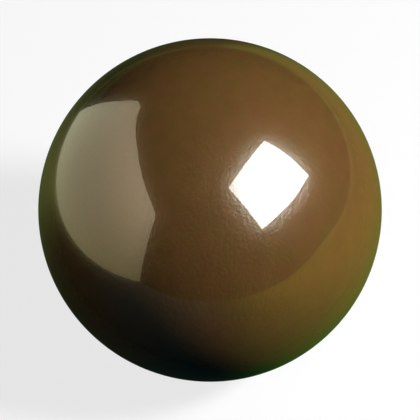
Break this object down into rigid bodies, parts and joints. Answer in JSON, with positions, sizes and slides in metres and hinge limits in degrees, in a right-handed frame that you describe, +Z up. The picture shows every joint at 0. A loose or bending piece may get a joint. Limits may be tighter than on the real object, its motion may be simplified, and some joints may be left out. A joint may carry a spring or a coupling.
{
  "type": "snooker ball",
  "caption": "Solid polished resin ball in plain brown, for a snooker table; it rolls on the cloth and is struck by the other balls.",
  "frame": {"origin": "centre of the ball", "axes": "+Z up, away from the cloth that the ball rests on; a plain ball looks the same about every axis, so X and Y only follow the picture's view, which looks along +Y from above"},
  "size_m": [0.0524, 0.0524, 0.0524],
  "materials": {
    "resin": "cast phenolic resin coloured right through, ground round and polished to a wet-looking gloss, with fine polishing streaks"
  },
  "bodies": {
    "root": {"ball": "resin"}
  },
  "joints": []
}
